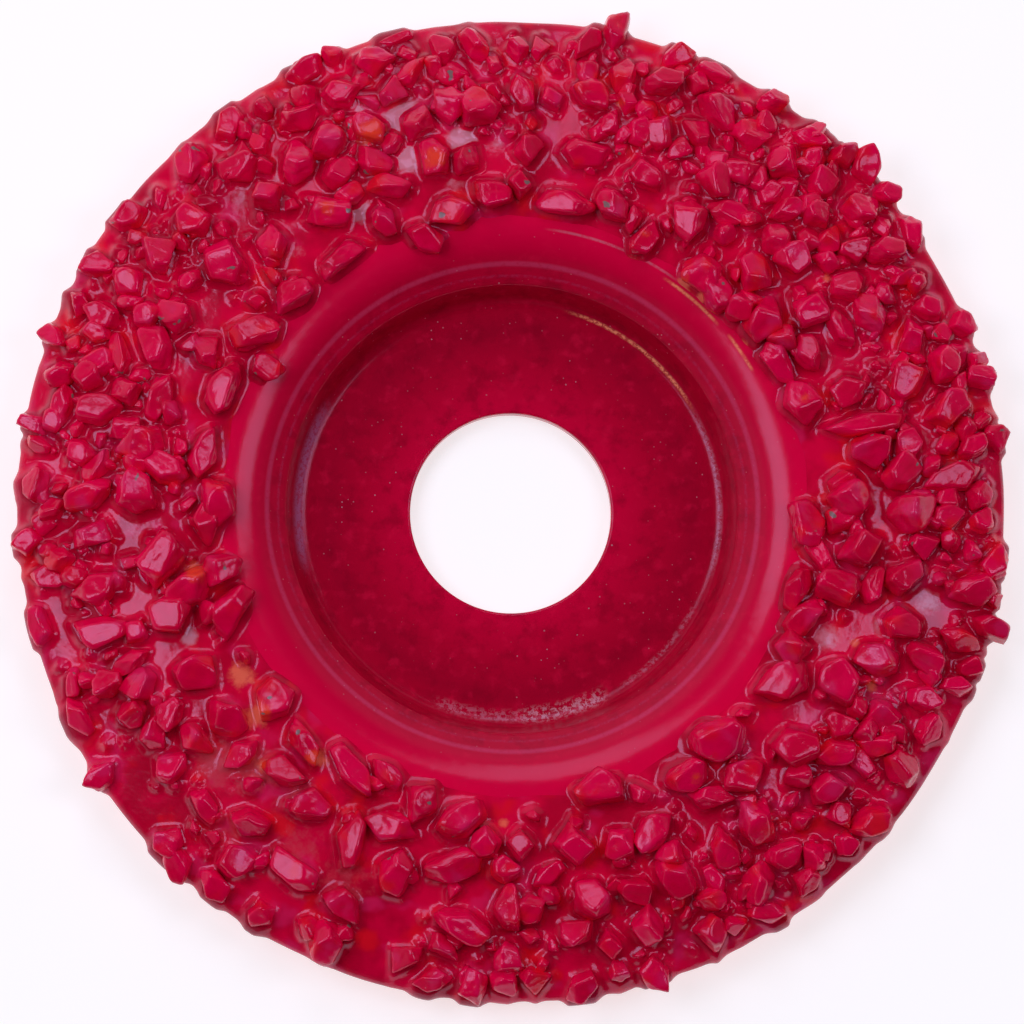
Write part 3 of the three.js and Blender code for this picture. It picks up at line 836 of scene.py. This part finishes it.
def looseRows(kind):
    plan = loose[kind]
    rng = np.random.default_rng(plan["seed"])
    taken = [(a, r, plan["room"] * 0.42 * (length + width) / 2) for a, r, length, width, _ in smallerGrains]
    for node in frame["nodes"]:
        if node.startswith("carbide_grain"):
            lo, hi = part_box(node)
            middle = (lo + hi) / 2
            azimuth, radius = math.degrees(math.atan2(middle.y, middle.x)), math.hypot(middle.x, middle.y)
            size = (hi.x - lo.x + hi.y - lo.y) / 2
            taken.append((azimuth, radius / mm, plan["room"] * 0.38 * size / mm))
    taken += [(a, r, 0.8 * reach) for a, r, reach in barePlaces]
    held = np.array([(*flatPlace(a, r), reach) for a, r, reach in taken])
    rows = []
    for _ in range(40000):
        azimuth, radius = rng.uniform(0, 360), math.sqrt(rng.uniform(34 ** 2, plan["rim"] ** 2))
        length = plan["smallest"] + (plan["largest"] - plan["smallest"]) * rng.random() ** 1.4
        x, y = flatPlace(azimuth, radius)
        # fewer on the lower side and towards the crest
        if rng.random() > (0.3 if 212 < azimuth < 292 else 1.0) * (0.35 if radius < 41 else 1.0):
            continue
        if (np.hypot(held[:, 0] - x, held[:, 1] - y) > held[:, 2] + plan["room"] * 0.4 * length).all():
            rows.append((azimuth, radius, length, length * rng.uniform(0.5, 0.9), rng.uniform(-90, 90)))
            held = np.vstack([held, [x, y, 0.42 * length]])
            if len(rows) == plan["count"]:
                break
    return rows


def gritTree(material, shapes):
    tree = bpy.data.node_groups.new("grit", "GeometryNodeTree")
    tree.interface.new_socket("Seats", in_out="INPUT", socket_type="NodeSocketGeometry")
    tree.interface.new_socket("Sink", in_out="INPUT", socket_type="NodeSocketFloat")
    tree.interface.new_socket("Grit", in_out="OUTPUT", socket_type="NodeSocketGeometry")
    source = addNode(tree, "NodeGroupInput")

    def named(name, kind):
        return addNode(tree, "GeometryNodeInputNamedAttribute", {"Name": name}, data_type=kind).outputs[0]

    stones = addNode(tree, "GeometryNodeCollectionInfo", {
        "Collection": shapes, "Separate Children": True, "Reset Children": True})
    turn = addNode(tree, "FunctionNodeEulerToRotation", {"Euler": named("facing", "FLOAT_VECTOR")})
    placed = addNode(tree, "GeometryNodeInstanceOnPoints", {
        "Points": source.outputs["Seats"], "Instance": stones.outputs[0], "Pick Instance": True,
        "Instance Index": named("shape", "INT"), "Rotation": turn.outputs[0],
        "Scale": named("size", "FLOAT_VECTOR")})
    down = addNode(tree, "ShaderNodeCombineXYZ", {"Z": source.outputs["Sink"]})
    sunk = addNode(tree, "GeometryNodeTranslateInstances", {
        "Instances": placed.outputs[0], "Translation": down.outputs[0], "Local Space": True})
    number = addNode(tree, "GeometryNodeInputIndex").outputs[0]
    numbered = addNode(tree, "GeometryNodeStoreNamedAttribute", {
        "Geometry": sunk.outputs[0], "Name": "grain", "Value": number}, data_type="INT", domain="INSTANCE")
    real = addNode(tree, "GeometryNodeRealizeInstances", {"Geometry": numbered.outputs[0]})
    painted = addNode(tree, "GeometryNodeSetMaterial", {"Geometry": real.outputs[0], "Material": material})
    addNode(tree, "NodeGroupOutput", {"Grit": painted.outputs[0]})
    return tree


def scatter(name, kind, rows, material):
    shapeCount, level, tipping, stand = grit[kind]
    rng = np.random.default_rng(grit["seed"] + len(rows))
    shapes = bpy.data.collections.new(name + "Shapes")
    for i in range(shapeCount):
        mesh = coatedShape(hullOf(brokenShape(rng)), level, i)
        shapes.objects.link(bpy.data.objects.new(f"{name}Shape{i:02d}", mesh))
    places, facing, sizes = [], [], []
    for azimuth, radius, length, width, turn in rows:
        seat = seatMatrix(azimuth, radius * mm, turn, rng.normal(0, tipping, 2))
        places.append(seat.translation)
        facing.append(seat.to_euler("XYZ"))
        grown = grit["grown"] if length > grit["seen"] and radius < grit["rimStart"] else 1.0
        sizes.append((grown * length * mm, grown * width * mm, width * rng.uniform(*stand) * mm))
    seats = meshObject(name, places, [])
    keep(seats.data, "facing", "FLOAT_VECTOR", facing)
    keep(seats.data, "size", "FLOAT_VECTOR", sizes)
    keep(seats.data, "shape", "INT", rng.integers(0, shapeCount, len(places)).astype(np.int32))
    modifier = seats.modifiers.new("grit", "NODES")
    modifier.node_group = gritTree(material, shapes)
    sink = next(s for s in modifier.node_group.interface.items_tree if s.name == "Sink")
    modifier[sink.identifier] = -grit["sink"]
    evaluated = seats.evaluated_get(bpy.context.evaluated_depsgraph_get())
    seats.data = bpy.data.meshes.new_from_object(evaluated)
    seats.modifiers.clear()
    for shape in list(shapes.objects):
        bpy.data.objects.remove(shape)
    bpy.data.collections.remove(shapes)
    markPlaces(seats, "thin", thinPlaces)
    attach(seats, "root")
    print(name, len(places), "faces", len(seats.data.polygons))
    return seats


bed = {
    "inner": 29.7 * mm,  # where the coat begins, inside the crest
    "map": 59 * mm,  # half the side of the map of where the grains stand
    "pitch": 0.09 * mm,  # and its spacing
    "mapReach": 1.7 * mm,  # the map tells distances from a grain up to here
    "blur": 7,  # how widely the grains' crowding is averaged, in spacings
    "climb": 0.62 * mm,  # how high the braze climbs a grain
    "reach": 0.95 * mm,  # how far from a grain it starts to climb
    "tuck": 0.06 * mm,  # how far the inner edge dips into the steel
    "feather": 8.5 * mm,  # and over what width the coat grows to its full thickness
    "wander": 0.45 * mm,  # how far that edge strays in and out
    "swell": 0.09 * mm,  # unevenness between the grains
    "rimFade": 1.2 * mm,  # the coat thins away over the rim's edge
    "softening": 0.45 * mm,  # of the rim's corner
    "smooth": 0.35 * mm,  # free of a grain by this much, the braze is smooth
    "underRim": 0.1 * mm,  # the hidden underside lies this far under the face at the rim
    "underInner": 0.6 * mm,  # and this far at the inner edge
    "rings": 150,
    "segments": 1920,
    "sectors": 4,  # one coat, cut like a cake so that no mesh grows too heavy
}


def outline(points):
    # the corners of a flat shape's hull, anticlockwise
    ordered = sorted({(float(x), float(y)) for x, y in points})
    halves = []
    for run in (ordered, ordered[::-1]):
        side = []
        for p in run:
            while len(side) > 1 and ((side[-1][0] - side[-2][0]) * (p[1] - side[-2][1])
                                     - (side[-1][1] - side[-2][1]) * (p[0] - side[-2][0])) <= 0:
                side.pop()
            side.append(p)
        halves += side[:-1]
    return halves


def footprints(pieces):
    # a map, seen from the front, of how far each place is from the nearest grain
    half = int(round(bed["map"] / bed["pitch"]))
    side = 2 * half + 1
    covered = np.zeros((side, side), bool)
    for points in pieces:
        r = np.hypot(points[:, 0], points[:, 1])
        low = points[points[:, 2] - surfaceHeight(r) < dish["bed"] + bed["climb"]]
        if len(low) < 3:
            continue
        flat = low[:, :2] / bed["pitch"] + half
        x0, y0 = np.floor(flat.min(0)).astype(int)
        x1, y1 = np.ceil(flat.max(0)).astype(int) + 1
        gx, gy = np.meshgrid(np.arange(x0, x1), np.arange(y0, y1))
        inside = np.ones(gx.shape, bool)
        corners = outline(flat)
        for a, b in zip(corners, corners[1:] + corners[:1]):
            inside &= (b[0] - a[0]) * (gy - a[1]) - (b[1] - a[1]) * (gx - a[0]) >= 0
        covered[y0:y1, x0:x1] |= inside
    reach = int(math.ceil(bed["mapReach"] / bed["pitch"]))
    across = np.where(covered, 0, reach).astype(np.float32)
    for d in range(1, reach):
        beside = np.roll(covered, d, 1) | np.roll(covered, -d, 1)
        across = np.where(beside & (across > d), d, across)
    far = across ** 2
    for d in range(1, reach):
        np.minimum(far, np.roll(across, d, 0) ** 2 + d * d, out=far)
        np.minimum(far, np.roll(across, -d, 0) ** 2 + d * d, out=far)
    return np.sqrt(far) * bed["pitch"], blurred(covered.astype(np.float32), bed["blur"]), half


def blurred(grid, sigma):
    n = int(3 * sigma) + 1
    kernel = np.exp(-0.5 * (np.arange(-n, n + 1) / sigma) ** 2)
    kernel /= kernel.sum()
    out = sum(k * np.roll(grid, i - n, 0) for i, k in enumerate(kernel))
    return sum(k * np.roll(out, i - n, 1) for i, k in enumerate(kernel))


def smoothstep(x):
    x = np.clip(x, 0, 1)
    return x * x * (3 - 2 * x)


def coatSurface(pieces):
    # the face of the coat as rings of points, from its inner edge over the dome and round the rim
    away, crowd, half = footprints(pieces)
    across = (np.arange(len(away)) - half) * bed["pitch"]
    x, y = np.meshgrid(across, across)
    reach = bed["reach"] * (1 + 0.3 * wave(x / (3 * mm), y / (3 * mm), 0, 21))
    climb = bed["climb"] * (1 + 0.25 * wave(x / (2.5 * mm), y / (2.5 * mm), 0, 22))
    rise = blurred(climb * np.clip(1 - away / reach, 0, 1) ** 1.8, 1.2)
    inner = math.degrees(math.acos((bed["inner"] - dish["crest"]) / dish["crestRoll"]))
    crest = arc(dish["crest"], crestCentre, dish["crestRoll"], inner, 90, 10)
    dome = arc(dish["crest"], domeCentre, dish["domeRoll"], 90, rimAngle, 40)
    under = arc(dish["crest"], domeCentre, dish["domeRoll"] - dish["sheet"], rimAngle, rimAngle, 1)
    step = 0.05 * mm
    raw = evenly(np.vstack([crest, dome[1:], dome[-1:] * 0.35 + under * 0.65]), step)
    soft = softened(raw, step, bed["softening"])
    along = np.concatenate([[0], np.cumsum(np.hypot(*np.diff(soft, axis=0).T))])
    at = np.linspace(0, along[-1], bed["rings"])
    r, z = (np.interp(at, along, soft[:, k]) for k in (0, 1))
    slope = np.stack([np.gradient(r), np.gradient(z)], 1)
    slope /= np.linalg.norm(slope, axis=1)[:, None]
    normalR, normalZ = -slope[:, 1], slope[:, 0]
    angles = np.arange(bed["segments"]) * 2 * math.pi / bed["segments"]
    cosA, sinA = np.cos(angles)[:, None], np.sin(angles)[:, None]
    px, py = r * cosA, r * sinA
    u, v = px / bed["pitch"] + half, py / bed["pitch"] + half
    iu, iv = np.floor(u).astype(int), np.floor(v).astype(int)
    fu, fv = u - iu, v - iv

    def sampled(grid):
        return (grid[iv, iu] * (1 - fu) * (1 - fv) + grid[iv, iu + 1] * fu * (1 - fv)
                + grid[iv + 1, iu] * (1 - fu) * fv + grid[iv + 1, iu + 1] * fu * fv)

    lift = sampled(rise)
    # feathered at the inner edge, where it wanders, and thinning round the rim
    wander = bed["wander"] * wave(px / (5 * mm), py / (5 * mm), 0, 31)
    edgeIn = (at - 2 * bed["wander"] - wander) / bed["feather"]
    edgeOut = np.clip((along[-1] - at) / bed["rimFade"], 0, 1)
    body = (dish["bed"] + bed["tuck"]) * np.minimum(smoothstep(edgeIn), edgeOut) - bed["tuck"]
    swell = bed["swell"] * wave(px / (2.6 * mm), py / (2.6 * mm), 0, 32)
    body = body + smoothstep(edgeIn * 1.5) * edgeOut * swell
    out = body + lift * np.clip(edgeIn * 14, 0, 1) * np.clip(edgeOut * 1.5, 0, 1)
    rr, zz = r + out * normalR, z + out * normalZ
    level = smoothstep(sampled(away) / bed["smooth"] - 1)
    return np.stack([rr * cosA, rr * sinA, zz], -1), sampled(crowd), level


def makeBrazeBed(pieces):
    face, crowd, level = coatSurface(pieces)
    round0, round1 = np.roll(face, 1, 0), np.roll(face, -1, 0)
    inOut = np.gradient(face, axis=1)
    normals = np.cross(inOut, round1 - round0)
    normals /= np.linalg.norm(normals, axis=2)[..., None]
    material = enamelOverBraze()
    per, rows = bed["segments"] // bed["sectors"], bed["rings"]
    for sector in range(bed["sectors"]):
        columns = np.arange(sector * per, (sector + 1) * per + 1) % bed["segments"]
        part, partNormals = face[columns], normals[columns]
        # the hidden underside is two more points per column, inside the steel
        low = np.stack([part[:, -1] * [0.985, 0.985, 1] - [0, 0, bed["underRim"]],
                        part[:, 0] - [0, 0, bed["underInner"]]], 1)
        vertices = np.concatenate([part, low], 1).reshape(-1, 3)
        height = rows + 2
        s, k = np.meshgrid(np.arange(per), np.arange(height), indexing="ij")
        k1 = (k + 1) % height
        here, beside = s * height, (s + 1) * height
        quads = np.stack([here + k, here + k1, beside + k1, beside + k], -1)
        ends = [list(range(height))[::-1], [per * height + k for k in range(height)]]
        piece = meshObject(f"brazeBed{sector + 1}", vertices, quads.reshape(-1, 4).tolist() + ends)
        mesh = piece.data
        shaded = np.zeros((len(vertices), 3))
        shaded.reshape(per + 1, height, 3)[:, :rows] = partNormals
        corners = np.zeros(len(mesh.loops), np.int32)
        mesh.loops.foreach_get("vertex_index", corners)
        counts, flat = np.zeros(len(mesh.polygons), np.int32), np.zeros(len(mesh.polygons) * 3)
        mesh.polygons.foreach_get("loop_total", counts)
        mesh.polygons.foreach_get("normal", flat)
        own = np.repeat(flat.reshape(-1, 3), counts, 0)
        onFace = np.repeat(np.append((k < rows - 1).ravel(), [False, False]), counts)
        loopNormals = np.where(onFace[:, None], shaded[corners], own)
        mesh.normals_split_custom_set(loopNormals.tolist())
        near, clear = np.zeros((per + 1, height), np.float32), np.zeros((per + 1, height))
        near[:, :rows] = crowd[columns]
        clear[:, :rows] = level[columns]
        keep(mesh, "crowd", "FLOAT", near)
        markPlaces(piece, "thin", thinPlaces)
        markPlaces(piece, "dull", dullPlaces)
        # painted sheen, only on braze clear of the grains
        markPlaces(piece, "pale", sheenPlaces, clear.ravel())
        mesh.materials.append(material)
        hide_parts("braze_bed")
        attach(piece, "root")
        print(piece.name, "faces", len(mesh.polygons))


def grainPoints(pieces):
    # the points of each single grain
    sets = []
    for piece in pieces:
        co = pointsOf(piece.data)
        if "grain" in piece.data.attributes:
            number = np.zeros(len(co), np.int32)
            piece.data.attributes["grain"].data.foreach_get("value", number)
            order = np.argsort(number, kind="stable")
            sets += np.split(co[order], np.flatnonzero(np.diff(number[order])) + 1)
        else:
            sets.append(co)
    return sets


placeCamera()
placeLights()
placeWorld()
makeFloor()
bpy.context.scene.view_settings.view_transform = "Standard"
print("stage set")

makeSteelDisc()
print("steel disc made")

grainEnamel = enamelOverCarbide()
largeGrains = makeLargeGrains(grainEnamel)
print("large grains made")
middle = len(smallerGrains) // 2       # in two pieces, so that neither mesh grows too heavy
smallGrains = [scatter("smallerGrainsA", "grains", smallerGrains[:middle], grainEnamel),
               scatter("smallerGrainsB", "grains", smallerGrains[middle:], grainEnamel),
               scatter("shards", "shards", looseRows("shards"), grainEnamel),
               scatter("crumbs", "crumbs", looseRows("crumbs"), grainEnamel)]
print("small grains made")
makeBrazeBed(grainPoints(largeGrains + smallGrains))
print("braze bed made")
